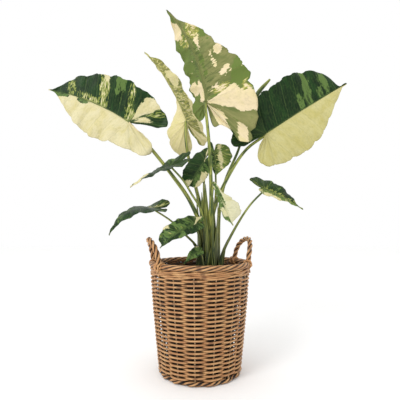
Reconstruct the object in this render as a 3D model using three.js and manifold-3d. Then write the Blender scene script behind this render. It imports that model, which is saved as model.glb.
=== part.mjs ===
// Variegated giant alocasia growing in a nursery pot that stands inside a round, lidless,
// woven rattan basket with two loop handles. Millimetres, +Z up, the front faces -Y.
// The origin is on the floor under the centre of the basket.
import * as THREE from "three";
import Module from "manifold-3d";

// ---------------------------------------------------------------- driving dimensions
const GAP = 0.35;                 // clearance left between neighbouring pieces
const ROUND = 48;                 // facets round the basket, its rim, pot and soil

const BASE = { radius: 105.5, thick: 6 };
const FOOT = { radius: 112.3, half: 6.4, z: 7.0 };
const WALL = { thick: 11, bottom: 14, top: 295.4 };
const RIM = { radius: 140.4, half: 8.6, z: 304.6 };
const FLARE = [[0, 118.6], [83, 127.6], [197, 139.6], [296, 147.4]];  // height, outer radius

const HANDLE = { azimuths: [15.5, 195.5], halfSpan: 22.5, rise: 62, lean: 11, radius: 7.6 };

const POT = { top: 262, bottom: BASE.thick + GAP, topRadius: 117, bottomRadius: 88, thick: 3 };
const SOIL = { top: 246, mound: 5, flat: 62 };

// Stems rise from a tight clump a little to the right of the basket's axis.
const CLUMP = { x: 27, y: 2, base: SOIL.top + SOIL.mound + GAP };

const BLADE_THICK = 2.4;
const VEIN_SLOPE = 0.28;          // how far a side vein runs forward on its way to the edge
const FULL_MESH = { body: 10, fan: 5, across: 3 };
const SMALL_MESH = { body: 7, fan: 4, across: 2 };

// Half outlines in leaf lengths: [along the midrib, out from it], from the notch to the tip.
const OUTLINES = {
  plain: [[-0.33, 0.05], [-0.42, 0.13], [-0.42, 0.24], [-0.33, 0.35], [-0.14, 0.43], [0.08, 0.45],
    [0.32, 0.41], [0.56, 0.29], [0.76, 0.16], [0.91, 0.06], [1, 0]],
  crownOpen: [[-0.16, 0.035], [-0.27, 0.075], [-0.25, 0.15], [-0.30, 0.25], [-0.39, 0.33],
    [-0.42, 0.41], [-0.41, 0.47], [-0.30, 0.52], [-0.10, 0.545], [0.12, 0.53], [0.28, 0.465],
    [0.40, 0.385], [0.56, 0.245], [0.70, 0.20], [0.80, 0.115], [0.90, 0.05], [1, 0]],
  crownBack: [[-0.16, 0.05], [-0.28, 0.12], [-0.32, 0.24], [-0.24, 0.33], [-0.12, 0.38],
    [0.10, 0.40], [0.30, 0.42], [0.54, 0.38], [0.72, 0.30], [0.84, 0.27], [0.94, 0.12], [1, 0]],
  narrow: [[-0.18, 0.05], [-0.29, 0.12], [-0.31, 0.22], [-0.22, 0.32], [-0.06, 0.38],
    [0.12, 0.40], [0.32, 0.37], [0.52, 0.31], [0.70, 0.26], [0.85, 0.19], [0.95, 0.09], [1, 0]],
  apron: [[-0.20, 0.012], [-0.34, 0.03], [-0.40, 0.12], [-0.36, 0.21], [-0.24, 0.26],
    [-0.08, 0.27], [0.06, 0.30], [0.22, 0.36], [0.40, 0.38], [0.60, 0.33], [0.78, 0.22],
    [0.91, 0.11], [1, 0]],
  blunt: [[-0.08, 0.055], [-0.20, 0.10], [-0.33, 0.155], [-0.385, 0.22], [-0.30, 0.30],
    [-0.12, 0.37], [0.12, 0.40], [0.34, 0.39], [0.48, 0.345], [0.58, 0.335], [0.72, 0.27],
    [0.82, 0.22], [0.92, 0.14], [1, 0]],
  full: [[-0.28, 0.03], [-0.37, 0.09], [-0.37, 0.16], [-0.29, 0.23], [-0.12, 0.33], [0.12, 0.40],
    [0.34, 0.41], [0.57, 0.42], [0.74, 0.38], [0.88, 0.31], [0.965, 0.20], [1, 0]],
  skirt: [[-0.10, 0.02], [-0.27, 0.025], [-0.38, 0.06], [-0.43, 0.13], [-0.39, 0.21],
    [-0.27, 0.24], [-0.12, 0.27], [0.06, 0.30], [0.24, 0.35], [0.42, 0.345], [0.58, 0.30],
    [0.72, 0.225], [0.84, 0.135], [0.94, 0.06], [1, 0]],
  drape: [[-0.13, 0.06], [-0.21, 0.13], [-0.245, 0.21], [-0.21, 0.29], [-0.10, 0.345],
    [0.08, 0.38], [0.28, 0.395], [0.46, 0.36], [0.66, 0.25], [0.81, 0.14], [0.93, 0.07], [1, 0]],
  pendant: [[-0.05, 0.01], [-0.07, 0.03], [-0.05, 0.06], [0.05, 0.08], [0.18, 0.10], [0.32, 0.14],
    [0.46, 0.25], [0.60, 0.32], [0.78, 0.34], [0.88, 0.30], [0.95, 0.15], [1, 0]],
};

// One record a leaf. joint: where the stem meets the blade; tip: end of the midrib; face: the
// way the upper side looks; arch: midrib bow towards the upper side, sweep: bow to the left.
// Halves are named as seen from the upper side with the tip away: outline, width factor, lobe
// length factor, fold up from flat at the lobe, middle and tip (degrees), curl across (degrees),
// turn: where along the midrib the fold leaves its lobe value and where it has opened.
// hang: how far the lobes drop back; ruffle: edge wave height; waves: how many.
// stem: foot in the clump, the points it bends through, thickness at the foot and at the blade.
const LEAVES = [
  { name: "crown_leaf", joint: [17, -48, 777], tip: [-83, -82, 1020], face: [0.6, 0.75, 0.25],
    arch: 14, sweep: 40, hang: 10, ruffle: 5, waves: 5.5, mesh: FULL_MESH,
    left: { outline: "crownOpen", wide: 1.0, lobe: 1,
      fold: [30, 34, 40], curl: [14, 8, 0] },
    right: { outline: "crownBack", wide: 0.95, lobe: 0.55,
      fold: [24, 30, 30], curl: [10, 6, 0] },
    stem: { foot: [-3, -20],
      bend: [[28, -22, 385], [33, -28, 490], [28, -38, 640]],
      thick: [9, 4.6] } },
  { name: "high_leaf", joint: [-46, 70, 754], tip: [-174, 96, 987], face: [0.05, 1, 0.1],
    arch: 8, sweep: 26, hang: -8, ruffle: 4, waves: 5, mesh: FULL_MESH,
    left: { outline: "narrow", wide: 1.0, lobe: 1,
      fold: [54, 64, 50], curl: [6, 6, 0] },
    right: { outline: "apron", wide: 1.0, lobe: 1, turn: [-0.32, 0.6],
      fold: [-4, 100, 95], curl: [0, 0, 0] },
    stem: { foot: [-17, 18],
      bend: [[4, 24, 457], [-12, 32, 530], [-30, 36, 600], [-44, 42, 680]],
      thick: [8, 4.4] } },
  { name: "left_wide_leaf", joint: [-206, -64, 712], tip: [-434, -30, 818], face: [0.1, -0.95, 0.3],
    arch: 8, sweep: -20, hang: 8, ruffle: 5, waves: 6, mesh: FULL_MESH,
    left: { outline: "skirt", wide: 1.0, lobe: 1,
      fold: [-6, -18, -14], curl: [-24, -22, 0] },
    right: { outline: "blunt", wide: 1.0, lobe: 1,
      fold: [14, 22, 10], curl: [14, 24, 0] },
    stem: { foot: [-23, -20],
      bend: [[9, -16, 385], [-29, -22, 487], [-87, -38, 570], [-150, -52, 648]],
      thick: [8.5, 4.6] } },
  { name: "right_wide_leaf", joint: [204, 10, 698], tip: [434, 0, 842], face: [-0.2, -0.95, 0.3],
    arch: 8, sweep: 0, hang: 8, ruffle: 5, waves: 6, mesh: FULL_MESH,
    left: { outline: "full", wide: 1.0, lobe: 1,
      fold: [14, 22, 10], curl: [14, 24, 0] },
    right: { outline: "drape", wide: 1.04, lobe: 1,
      fold: [-6, -18, -14], curl: [-24, -22, 0] },
    stem: { foot: [7, 2],
      bend: [[33, 12, 400], [46, 18, 475], [93, 28, 578], [146, 32, 655]],
      thick: [8.5, 4.6] } },
  { name: "left_mid_leaf", joint: [-82, -84, 582], tip: [-182, -104, 526], face: [-0.25, -0.6, 0.8],
    arch: 14, sweep: 0, hang: -22, ruffle: 2.5, waves: 4, mesh: SMALL_MESH,
    left: { outline: "plain", wide: 0.85, lobe: 1.15,
      fold: [10, 16, 10], curl: [0, 0, 0] },
    right: { outline: "plain", wide: 0.68, lobe: 1.45, turn: [-0.15, 0.35],
      fold: [6, -22, -16], curl: [0, 0, 0] },
    stem: { foot: [-11, -40],
      bend: [[13, -40, 400], [0, -48, 466], [-23, -62, 504], [-46, -74, 541]],
      thick: [5.5, 2.8] } },
  { name: "centre_leaf", joint: [14, -4, 612], tip: [-32, -30, 532], face: [-0.1, -0.95, 0.35],
    arch: 6, sweep: 0, hang: 6, ruffle: 3, waves: 4, mesh: SMALL_MESH,
    left: { outline: "full", wide: 0.8, lobe: 0.8,
      fold: [-10, -20, -10], curl: [0, 0, 0] },
    right: { outline: "full", wide: 0.98, lobe: 1.4,
      fold: [4, 4, 4], curl: [8, 10, 0] },
    stem: { foot: [-13, 0],
      bend: [[14, 4, 400], [12, 8, 520]],
      thick: [6, 3] } },
  { name: "inner_leaf", joint: [45, 46, 650], tip: [48, 24, 570], face: [0.1, -0.95, 0.3],
    arch: 6, sweep: 0, hang: 6, ruffle: 3, waves: 4, mesh: SMALL_MESH,
    left: { outline: "plain", wide: 1.65, lobe: 1,
      fold: [-10, -20, -10], curl: [0, 0, 0] },
    right: { outline: "plain", wide: 0.6, lobe: 1,
      fold: [10, 14, 10], curl: [0, 0, 0] },
    stem: { foot: [5, 22],
      bend: [[34, 28, 400], [48, 36, 500], [50, 48, 560]],
      thick: [5.5, 2.8] } },
  { name: "low_left_leaf", joint: [-140, -30, 468], tip: [-250, -66, 400], face: [-0.1, -0.3, 0.95],
    arch: 52, sweep: 0, hang: -18, ruffle: 2.5, waves: 4, mesh: SMALL_MESH,
    left: { outline: "plain", wide: 0.8, lobe: 0.6,
      fold: [4, -4, -24], curl: [0, 0, 0] },
    right: { outline: "plain", wide: 0.8, lobe: 1.0, turn: [-0.35, 0.0],
      fold: [30, -9, -6], curl: [0, 0, 0] },
    stem: { foot: [-35, 0],
      bend: [[-6, 0, 345], [-46, -12, 392], [-85, -22, 430]],
      thick: [5, 2.6] } },
  { name: "front_left_leaf", joint: [-14, -84, 420], tip: [-98, -130, 364], face: [-0.25, -0.7, 0.7],
    arch: 14, sweep: 0, hang: 0, ruffle: 2.5, waves: 4, mesh: SMALL_MESH,
    left: { outline: "plain", wide: 0.5, lobe: 0.5,
      fold: [-12, -14, -10], curl: [0, 0, 0] },
    right: { outline: "full", wide: 0.88, lobe: 0.95,
      fold: [10, 12, 8], curl: [0, 0, 0] },
    stem: { foot: [-25, -42],
      bend: [[-5, -48, 320], [-2, -66, 380]],
      thick: [5, 2.6] } },
  { name: "rim_leaf", joint: [-2, -82, 346], tip: [-40, -104, 317], face: [-0.2, -0.75, 0.6],
    arch: 8, sweep: 0, hang: 0, ruffle: 1.5, waves: 3, mesh: SMALL_MESH,
    left: { outline: "plain", wide: 0.55, lobe: 0.45,
      fold: [-10, -12, -8], curl: [0, 0, 0] },
    right: { outline: "plain", wide: 0.75, lobe: 0.7,
      fold: [10, 12, 8], curl: [0, 0, 0] },
    stem: { foot: [-38, -32],
      bend: [[-12, -52, 290]],
      thick: [4, 2.2] } },
  { name: "hanging_leaf", joint: [38, -64, 532], tip: [88, -78, 424], face: [0.35, -0.9, 0.2],
    arch: 6, sweep: 0, hang: 0, ruffle: 2.5, waves: 4, mesh: SMALL_MESH,
    left: { outline: "pendant", wide: 1.0, lobe: 1,
      fold: [4, 6, 4], curl: [0, 10, 0] },
    right: { outline: "pendant", wide: 0.35, lobe: 1,
      fold: [-20, -30, -20], curl: [0, 0, 0] },
    stem: { foot: [8, -42],
      bend: [[36, -46, 400], [34, -58, 480]],
      thick: [5.5, 2.6] } },
  { name: "low_right_leaf", joint: [190, -26, 522], tip: [287, -50, 467], face: [0.15, -0.45, 0.85],
    arch: 8, sweep: 0, hang: -12, ruffle: 2.5, waves: 4, mesh: SMALL_MESH,
    left: { outline: "plain", wide: 0.95, lobe: 1.15,
      fold: [14, 16, 8], curl: [0, 0, 0] },
    right: { outline: "plain", wide: 0.45, lobe: 0.3,
      fold: [-10, -14, -10], curl: [0, 0, 0] },
    stem: { foot: [34, -18],
      bend: [[64, -16, 325], [90, -18, 385], [146, -24, 475]],
      thick: [6, 2.8] } },
];

// Rolled young leaf: a slender stem that ends in a pointed, slightly opened roll.
const SPEAR = { name: "young_leaf", foot: [28, 8],
  bend: [[55, 26, 370], [62, 42, 475], [82, 50, 562], [122, 58, 655]],
  mouth: [184, 62, 838], end: [228, 60, 892], thick: [7, 3.4], roll: 7.5 };

const COLOURS = {
  rattan: "#b98550", rattan_dark: "#8d5f38", pot: "#3b342f", soil: "#4a3527",
  blade: "#2f5a34", pale_blade: "#d8d494", stem: "#7f9440",
};

// ---------------------------------------------------------------- meshes and materials
const { Manifold, Mesh } = await Module().then((kernel) => (kernel.setup(), kernel));
const group = new THREE.Group();
group.name = "potted_alocasia";

function addPiece(name, geometry, colour, roughness) {
  const material = new THREE.MeshStandardMaterial({ color: colour, roughness, metalness: 0 });
  material.name = `${name}_finish`;
  const mesh = new THREE.Mesh(geometry, material);
  mesh.name = name;
  group.add(mesh);
}

function geometryFrom(points, faces) {
  const geometry = new THREE.BufferGeometry();
  geometry.setAttribute("position", new THREE.Float32BufferAttribute(points.flat(), 3));
  geometry.setIndex(faces.flat());
  geometry.computeVertexNormals();
  return geometry;
}

// ---------------------------------------------------------------- turned pieces
// A closed [radius, height] profile turned round +Z; radius 0 points sit on the axis.
function turned(profile) {
  const points = [];
  const faces = [];
  const rings = profile.map(([radius, height]) => {
    const first = points.length;
    const count = radius === 0 ? 1 : ROUND;
    for (let i = 0; i < count; i++) {
      const angle = (i / ROUND) * 2 * Math.PI;
      points.push([radius * Math.cos(angle), radius * Math.sin(angle), height]);
    }
    return { first, count };
  });
  rings.forEach((ring, k) => {
    const next = rings[(k + 1) % rings.length];
    if (ring.count === 1 && next.count === 1) return;
    for (let i = 0; i < ROUND; i++) {
      const j = (i + 1) % ROUND;
      const a = ring.first + (ring.count === 1 ? 0 : i);
      const b = ring.first + (ring.count === 1 ? 0 : j);
      const c = next.first + (next.count === 1 ? 0 : j);
      const d = next.first + (next.count === 1 ? 0 : i);
      if (a !== b) faces.push([a, b, c]);
      if (c !== d) faces.push([a, c, d]);
    }
  });
  return geometryFrom(points, faces);
}

function wallRadius(height) {
  const k = FLARE.findIndex(([z]) => z > height);
  const [z0, r0] = FLARE[Math.max(k - 1, 0)];
  const [z1, r1] = FLARE[k < 0 ? FLARE.length - 1 : Math.max(k, 1)];
  return z1 === z0 ? r1 : r0 + ((r1 - r0) * (height - z0)) / (z1 - z0);
}

function wallProfile() {
  const heights = [WALL.bottom, 48, FLARE[1][0], 140, FLARE[2][0], 246, WALL.top];
  const outer = heights.map((z) => [wallRadius(z), z]);
  const inner = heights.map((z) => [wallRadius(z) - WALL.thick, z]).reverse();
  return [...outer, ...inner];
}

function ringProfile({ radius, half, z }, facets) {
  return Array.from({ length: facets }, (_, i) => {
    const angle = ((i + 0.5) / facets) * 2 * Math.PI;
    return [radius + half * Math.cos(angle), z + half * Math.sin(angle)];
  });
}

function potProfile() {
  const { top, bottom, topRadius, bottomRadius, thick } = POT;
  return [
    [0, bottom], [bottomRadius, bottom], [topRadius, top],
    [topRadius - thick, top], [bottomRadius - thick, bottom + thick], [0, bottom + thick],
  ];
}

function potInside(height) {
  const { top, bottom, topRadius, bottomRadius, thick } = POT;
  const share = (height - bottom - thick) / (top - bottom - thick);
  return bottomRadius - thick + share * (topRadius - bottomRadius);
}

function soilProfile() {
  const floor = POT.bottom + POT.thick + GAP;
  const crown = SOIL.top + SOIL.mound;
  return [
    [0, floor], [potInside(floor) - GAP, floor], [potInside(SOIL.top) - GAP, SOIL.top],
    [SOIL.flat + 26, crown - 2], [SOIL.flat, crown], [0, crown],
  ];
}

// ---------------------------------------------------------------- swept stems and handles
function smoothPath(points, count) {
  const curve = new THREE.CatmullRomCurve3(points.map((p) => new THREE.Vector3(...p)), false, "centripetal");
  return curve.getSpacedPoints(count);
}

// A round rod along a path with its own radius at every ring, capped at both ends.
function sweptRod(path, radii, sides, flatEnds = null) {
  const points = [];
  const faces = [];
  let across = new THREE.Vector3(1, 0, 0);
  path.forEach((centre, k) => {
    const along = path[Math.min(k + 1, path.length - 1)].clone()
      .sub(path[Math.max(k - 1, 0)]).normalize();
    if (flatEnds && (k === 0 || k === path.length - 1)) along.copy(flatEnds[k === 0 ? 0 : 1]);
    across = across.clone().addScaledVector(along, -across.dot(along)).normalize();
    const other = along.clone().cross(across);
    for (let i = 0; i < sides; i++) {
      const angle = (i / sides) * 2 * Math.PI;
      const p = centre.clone()
        .addScaledVector(across, radii[k] * Math.cos(angle))
        .addScaledVector(other, radii[k] * Math.sin(angle));
      points.push(p.toArray());
    }
  });
  for (let k = 0; k + 1 < path.length; k++) {
    for (let i = 0; i < sides; i++) {
      const j = (i + 1) % sides;
      const a = k * sides + i;
      const b = k * sides + j;
      faces.push([a, b, b + sides], [a, b + sides, a + sides]);
    }
  }
  const first = points.length;
  points.push(path[0].toArray(), path[path.length - 1].toArray());
  const last = (path.length - 1) * sides;
  for (let i = 0; i < sides; i++) {
    const j = (i + 1) % sides;
    faces.push([first, j, i], [first + 1, last + i, last + j]);
  }
  return geometryFrom(points, faces);
}

function solidFrom(geometry) {
  return new Manifold(new Mesh({
    numProp: 3,
    vertProperties: new Float32Array(geometry.attributes.position.array),
    triVerts: new Uint32Array(geometry.index.array),
  }));
}

function geometryOf(solid) {
  const { vertProperties, triVerts, numProp } = solid.getMesh();
  const points = [];
  for (let i = 0; i < vertProperties.length; i += numProp) {
    points.push([vertProperties[i], vertProperties[i + 1], vertProperties[i + 2]]);
  }
  return geometryFrom(points, [Array.from(triVerts)]);
}

// Loop handle: an arch over the rim whose two feet are saddled to the rim's round back.
function handle(azimuth) {
  const steps = 16;
  const path = [];
  for (let k = 0; k <= steps; k++) {
    const turn = Math.PI * (k / steps);
    const lift = Math.pow(Math.sin(turn), 0.75);
    const side = -Math.cos(turn) * HANDLE.halfSpan;
    const angle = THREE.MathUtils.degToRad(azimuth + side);
    const radius = RIM.radius + HANDLE.lean * lift;
    path.push(new THREE.Vector3(
      radius * Math.cos(angle), radius * Math.sin(angle), RIM.z + 1 + (HANDLE.rise + RIM.half) * lift));
  }
  const rod = solidFrom(sweptRod(path, path.map(() => HANDLE.radius), 10));
  const clearance = solidFrom(turned(ringProfile({ ...RIM, half: RIM.half + GAP }, 12)));
  const above = rod.trimByPlane([0, 0, 1], RIM.z);
  return geometryOf(above.subtract(clearance).decompose()
    .sort((a, b) => b.volume() - a.volume())[0]);
}

// ---------------------------------------------------------------- leaves
const vec = (p) => new THREE.Vector3(...p);
const ease = (t) => t * t * (3 - 2 * t);
const clamp01 = (t) => Math.min(Math.max(t, 0), 1);

// Value at u from three stations: the lobe end, the broad middle and the tip.
function stationValue(u, [lobe, middle, tip], [start, stop] = [-0.4, 0.25]) {
  const near = ease(clamp01((u - start) / (stop - start)));
  const far = ease(clamp01((u - stop) / (1 - stop)));
  return lobe + (middle - lobe) * near + (tip - middle) * far;
}

function midribOf(leaf) {
  const joint = vec(leaf.joint);
  const tip = vec(leaf.tip);
  const axis = tip.clone().sub(joint).normalize();
  const face = vec(leaf.face);
  const up = face.clone().addScaledVector(axis, -face.dot(axis)).normalize();
  const out = up.clone().cross(axis);
  const bow = joint.clone().add(tip).multiplyScalar(0.5)
    .addScaledVector(up, leaf.arch).addScaledVector(out, leaf.sweep);
  const curve = new THREE.QuadraticBezierCurve3(joint, bow, tip);
  return { curve, face, length: curve.getLength() };
}

// Midrib point and its frame at u; behind the joint (u < 0) it runs back and drops by `hang`.
function frameAt(leaf, midrib, u) {
  const t = clamp01(u);
  const at = midrib.curve.getPoint(t);
  const along = midrib.curve.getTangent(t).normalize();
  const up = midrib.face.clone().addScaledVector(along, -midrib.face.dot(along)).normalize();
  const out = up.clone().cross(along);
  const bend = (Math.max(-u, 0) / 0.4) * THREE.MathUtils.degToRad(leaf.hang);
  if (u < 0) {
    const back = Math.abs(bend) < 1e-4 ? -u : (-u * Math.sin(bend)) / bend;
    const drop = Math.abs(bend) < 1e-4 ? 0 : (-u * (1 - Math.cos(bend))) / bend;
    at.addScaledVector(along, -back * midrib.length).addScaledVector(up, -drop * midrib.length);
    const oldUp = up.clone();
    up.multiplyScalar(Math.cos(bend)).addScaledVector(along, -Math.sin(bend));
    along.multiplyScalar(Math.cos(bend)).addScaledVector(oldUp, Math.sin(bend));
  }
  return { at, up, out };
}

function surfacePoint(leaf, midrib, half, side, u, v, reach) {
  const { at, up, out } = frameAt(leaf, midrib, u);
  const fold = THREE.MathUtils.degToRad(stationValue(u, half.fold, half.turn));
  const curl = THREE.MathUtils.degToRad(stationValue(u, half.curl)) || 1e-4;
  const span = v * midrib.length;
  const full = 0.45 * midrib.length;
  const turn = (curl * span) / full;
  const sideways = (full / curl) * (Math.sin(fold + turn) - Math.sin(fold));
  const upward = (full / curl) * (Math.cos(fold) - Math.cos(fold + turn));
  const phase = side > 0 ? 0.6 : 2.1;
  const wave = leaf.ruffle * reach * reach * Math.sin(leaf.waves * Math.PI * (u + 0.4) * 1.4 + phase);
  const tilt = fold + turn;
  return at.clone()
    .addScaledVector(out, side * (sideways - wave * Math.sin(tilt)))
    .addScaledVector(up, upward + wave * Math.cos(tilt));
}

// Outline of a half as a dense list of [u, v].
function outlineOf(half) {
  const corners = OUTLINES[half.outline]
    .map(([u, v]) => new THREE.Vector3(u < 0 ? u * half.lobe : u, v * half.wide, 0));
  return new THREE.CatmullRomCurve3(corners, false, "centripetal").getPoints(400)
    .map((p) => [p.x, Math.max(p.y, 0)]);
}

// Outline points where the side veins end: first the fan from the joint, then the body.
function veinEnds(half, body, fan) {
  const outline = outlineOf(half);
  const root = ([u, v]) => u - VEIN_SLOPE * v;
  const firstBody = outline.findIndex((p) => root(p) > 0);
  const ends = [];
  for (let f = 0; f < fan; f++) {
    ends.push(outline[Math.round((firstBody * f) / fan)]);
  }
  for (let k = 0; k < body; k++) {
    ends.push(outline.find((p) => root(p) >= k / body));
  }
  return ends;
}

function blade(leaf) {
  const { body, fan, across } = leaf.mesh;
  const midrib = midribOf(leaf);
  const points = [];
  const faces = [];
  for (let k = 0; k <= body; k++) {
    points.push(frameAt(leaf, midrib, k / body).at);
  }
  const rims = {};
  for (const [key, side] of [["left", 1], ["right", -1]]) {
    const half = leaf[key];
    const ends = veinEnds(half, body, fan);
    const rows = ends.map(([u, v], k) => {
      const rootAt = Math.max(k - fan, 0);
      const row = [rootAt];
      for (let j = 1; j <= across; j++) {
        const reach = j / across;
        const uHere = (rootAt / body) * (1 - reach) + u * reach;
        row.push(points.length);
        points.push(surfacePoint(leaf, midrib, half, side, uHere, v * reach, reach));
      }
      return row;
    });
    rows.push(Array(across + 1).fill(body));
    const put = (a, b, c) => {
      if (a !== b && b !== c && c !== a) faces.push(side > 0 ? [a, c, b] : [a, b, c]);
    };
    for (let k = 0; k + 1 < rows.length; k++) {
      for (let j = 0; j < across; j++) {
        put(rows[k][j], rows[k][j + 1], rows[k + 1][j + 1]);
        put(rows[k][j], rows[k + 1][j + 1], rows[k + 1][j]);
      }
    }
    rims[key] = [...rows[0], ...rows.slice(1, -1).map((row) => row[across])];
  }
  const loop = [...rims.left, body, ...rims.right.slice(1).reverse()];
  return slab(points, faces, loop);
}

// Closes a surface into a thin body: offset both ways and stitched along its edge loop.
function slab(points, faces, loop) {
  const normals = points.map(() => new THREE.Vector3());
  for (const [a, b, c] of faces) {
    const normal = points[b].clone().sub(points[a]).cross(points[c].clone().sub(points[a]));
    normals[a].add(normal);
    normals[b].add(normal);
    normals[c].add(normal);
  }
  normals.forEach((normal) => normal.normalize());
  const shifted = (sign) => points.map((p, i) =>
    p.clone().addScaledVector(normals[i], (sign * BLADE_THICK) / 2).toArray());
  const count = points.length;
  const all = [...shifted(1), ...shifted(-1)];
  const shell = [...faces, ...faces.map(([a, b, c]) => [a + count, c + count, b + count])];
  loop.forEach((a, i) => {
    const b = loop[(i + 1) % loop.length];
    shell.push([a, b, b + count], [a, b + count, a + count]);
  });
  return geometryFrom(all, shell);
}

function stem(leaf) {
  const midrib = midribOf(leaf);
  const { at, up } = frameAt(leaf, midrib, 0);
  const { foot, bend, thick } = leaf.stem;
  const under = at.clone().addScaledVector(up, -(BLADE_THICK / 2 + thick[1] + 3 * GAP));
  return rodFrom([[CLUMP.x + foot[0], CLUMP.y + foot[1], CLUMP.base], ...bend, under.toArray()], thick);
}

function rodFrom(points, [thickFoot, thickTop]) {
  const rings = 12;
  const path = smoothPath(points, rings);
  const radii = path.map((_, k) => {
    const share = k / rings;
    return thickTop + (thickFoot - thickTop) * Math.pow(1 - share, 1.6);
  });
  return sweptRod(path, radii, 8, endsOf(path));
}

// Flat on the soil at the foot, square to the path at the other end.
function endsOf(path) {
  const last = path.length - 1;
  return [new THREE.Vector3(0, 0, 1), path[last].clone().sub(path[last - 1]).normalize()];
}

// ---------------------------------------------------------------- the whole object
addPiece("basket_base", turned([[0, 0], [BASE.radius, 0], [BASE.radius, BASE.thick], [0, BASE.thick]]),
  COLOURS.rattan_dark, 0.75);
addPiece("foot_border", turned(ringProfile(FOOT, 10)), COLOURS.rattan, 0.65);
addPiece("basket_wall", turned(wallProfile()), COLOURS.rattan, 0.65);
addPiece("rim_border", turned(ringProfile(RIM, 12)), COLOURS.rattan, 0.6);
addPiece("handle_right", handle(HANDLE.azimuths[0]), COLOURS.rattan, 0.6);
addPiece("handle_left", handle(HANDLE.azimuths[1]), COLOURS.rattan, 0.6);
addPiece("nursery_pot", turned(potProfile()), COLOURS.pot, 0.5);
addPiece("soil", turned(soilProfile()), COLOURS.soil, 0.95);

for (const leaf of LEAVES) {
  const pale = leaf.name === "hanging_leaf";
  addPiece(leaf.name, blade(leaf), pale ? COLOURS.pale_blade : COLOURS.blade, 0.4);
  addPiece(leaf.name.replace("_leaf", "_stem"), stem(leaf), COLOURS.stem, 0.45);
}

function spear() {
  const foot = [CLUMP.x + SPEAR.foot[0], CLUMP.y + SPEAR.foot[1], CLUMP.base];
  const rings = 16;
  const path = smoothPath([foot, ...SPEAR.bend, SPEAR.mouth, SPEAR.end], rings);
  const radii = path.map((_, k) => {
    const share = k / rings;
    const roll = share > 0.8 ? SPEAR.roll * Math.sin(Math.PI * clamp01((share - 0.78) / 0.26)) : 0;
    return Math.max(SPEAR.thick[1] + (SPEAR.thick[0] - SPEAR.thick[1]) * Math.pow(1 - share, 1.6), roll);
  });
  return sweptRod(path, radii, 8, endsOf(path));
}
addPiece(SPEAR.name, spear(), COLOURS.stem, 0.45);

export default group;
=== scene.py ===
"""Looks for the variegated alocasia in its woven rattan basket.

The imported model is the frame. Lengths in this file are millimetres in the frame's axes until
a mesh is made, where they become metres.
"""
import math
from types import SimpleNamespace as Sizes

import bpy
import numpy as np
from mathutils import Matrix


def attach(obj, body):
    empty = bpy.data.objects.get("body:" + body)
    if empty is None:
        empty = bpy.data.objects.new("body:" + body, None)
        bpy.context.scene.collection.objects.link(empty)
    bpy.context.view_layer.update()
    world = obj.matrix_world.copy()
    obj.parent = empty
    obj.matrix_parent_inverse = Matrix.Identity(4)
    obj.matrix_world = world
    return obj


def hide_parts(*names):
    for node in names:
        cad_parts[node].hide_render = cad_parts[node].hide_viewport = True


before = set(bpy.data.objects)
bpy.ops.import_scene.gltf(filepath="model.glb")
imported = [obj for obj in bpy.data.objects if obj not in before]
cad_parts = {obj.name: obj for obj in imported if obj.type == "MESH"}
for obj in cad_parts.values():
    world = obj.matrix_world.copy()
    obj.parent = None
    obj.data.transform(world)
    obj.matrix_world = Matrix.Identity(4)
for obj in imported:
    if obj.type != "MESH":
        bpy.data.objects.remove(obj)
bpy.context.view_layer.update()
MM = 0.001
TAU = 2 * math.pi

# --- sizes shared with the CAD
FLARE = ((0, 118.6), (83, 127.6), (197, 139.6), (296, 147.4))    # height, outer radius
RIM = Sizes(radius=140.4, half=8.6, z=304.6)
FOOT = Sizes(radius=112.3, half=6.4, z=7.0)
HANDLE = Sizes(azimuths=(15.5, 195.5), half_span=22.5, rise=62, lean=11)
POT = Sizes(top=262, bottom=6.35, top_radius=117, bottom_radius=88, thick=3)
SOIL_TOP, SOIL_MOUND, SOIL_FLAT = 246, 5, 62
CLUMP = (27, 2, SOIL_TOP + SOIL_MOUND + 0.35)
VEIN_SLOPE = 0.28
SIDE_VEINS = (5, 7)                # side veins of a small and of a large half leaf
LARGE = 150                        # a leaf longer than this is a large one
LOBE_VEINS = 4                     # veins that fan out over a lobe

# Outlines of half leaves, from the lobe to the tip, in thousandths of the leaf's length.
OUTLINES = {
    "plain": [(-330, 50), (-420, 130), (-420, 240), (-330, 350), (-140, 430), (80, 450),
        (320, 410), (560, 290), (760, 160), (910, 60)],
    "crown_open": [(-160, 35), (-270, 75), (-250, 150), (-300, 250), (-390, 330), (-420, 410),
        (-410, 470), (-300, 520), (-100, 545), (120, 530), (280, 465), (400, 385), (560, 245),
        (700, 200), (800, 115), (900, 50)],
    "crown_back": [(-160, 50), (-280, 120), (-320, 240), (-240, 330), (-120, 380), (100, 400),
        (300, 420), (540, 380), (720, 300), (840, 270), (940, 120)],
    "narrow": [(-180, 50), (-290, 120), (-310, 220), (-220, 320), (-60, 380), (120, 400),
        (320, 370), (520, 310), (700, 260), (850, 190), (950, 90)],
    "apron": [(-200, 12), (-340, 30), (-400, 120), (-360, 210), (-240, 260), (-80, 270), (60, 300),
        (220, 360), (400, 380), (600, 330), (780, 220), (910, 110)],
    "blunt": [(-80, 55), (-200, 100), (-330, 155), (-385, 220), (-300, 300), (-120, 370),
        (120, 400), (340, 390), (480, 345), (580, 335), (720, 270), (820, 220), (920, 140)],
    "full": [(-280, 30), (-370, 90), (-370, 160), (-290, 230), (-120, 330), (120, 400), (340, 410),
        (570, 420), (740, 380), (880, 310), (965, 200)],
    "skirt": [(-100, 20), (-270, 25), (-380, 60), (-430, 130), (-390, 210), (-270, 240),
        (-120, 270), (60, 300), (240, 350), (420, 345), (580, 300), (720, 225), (840, 135),
        (940, 60)],
    "drape": [(-130, 60), (-210, 130), (-245, 210), (-210, 290), (-100, 345), (80, 380),
        (280, 395), (460, 360), (660, 250), (810, 140), (930, 70)],
    "pendant": [(-50, 10), (-70, 30), (-50, 60), (50, 80), (180, 100), (320, 140), (460, 250),
        (600, 320), (780, 340), (880, 300), (950, 150)],
}
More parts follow.
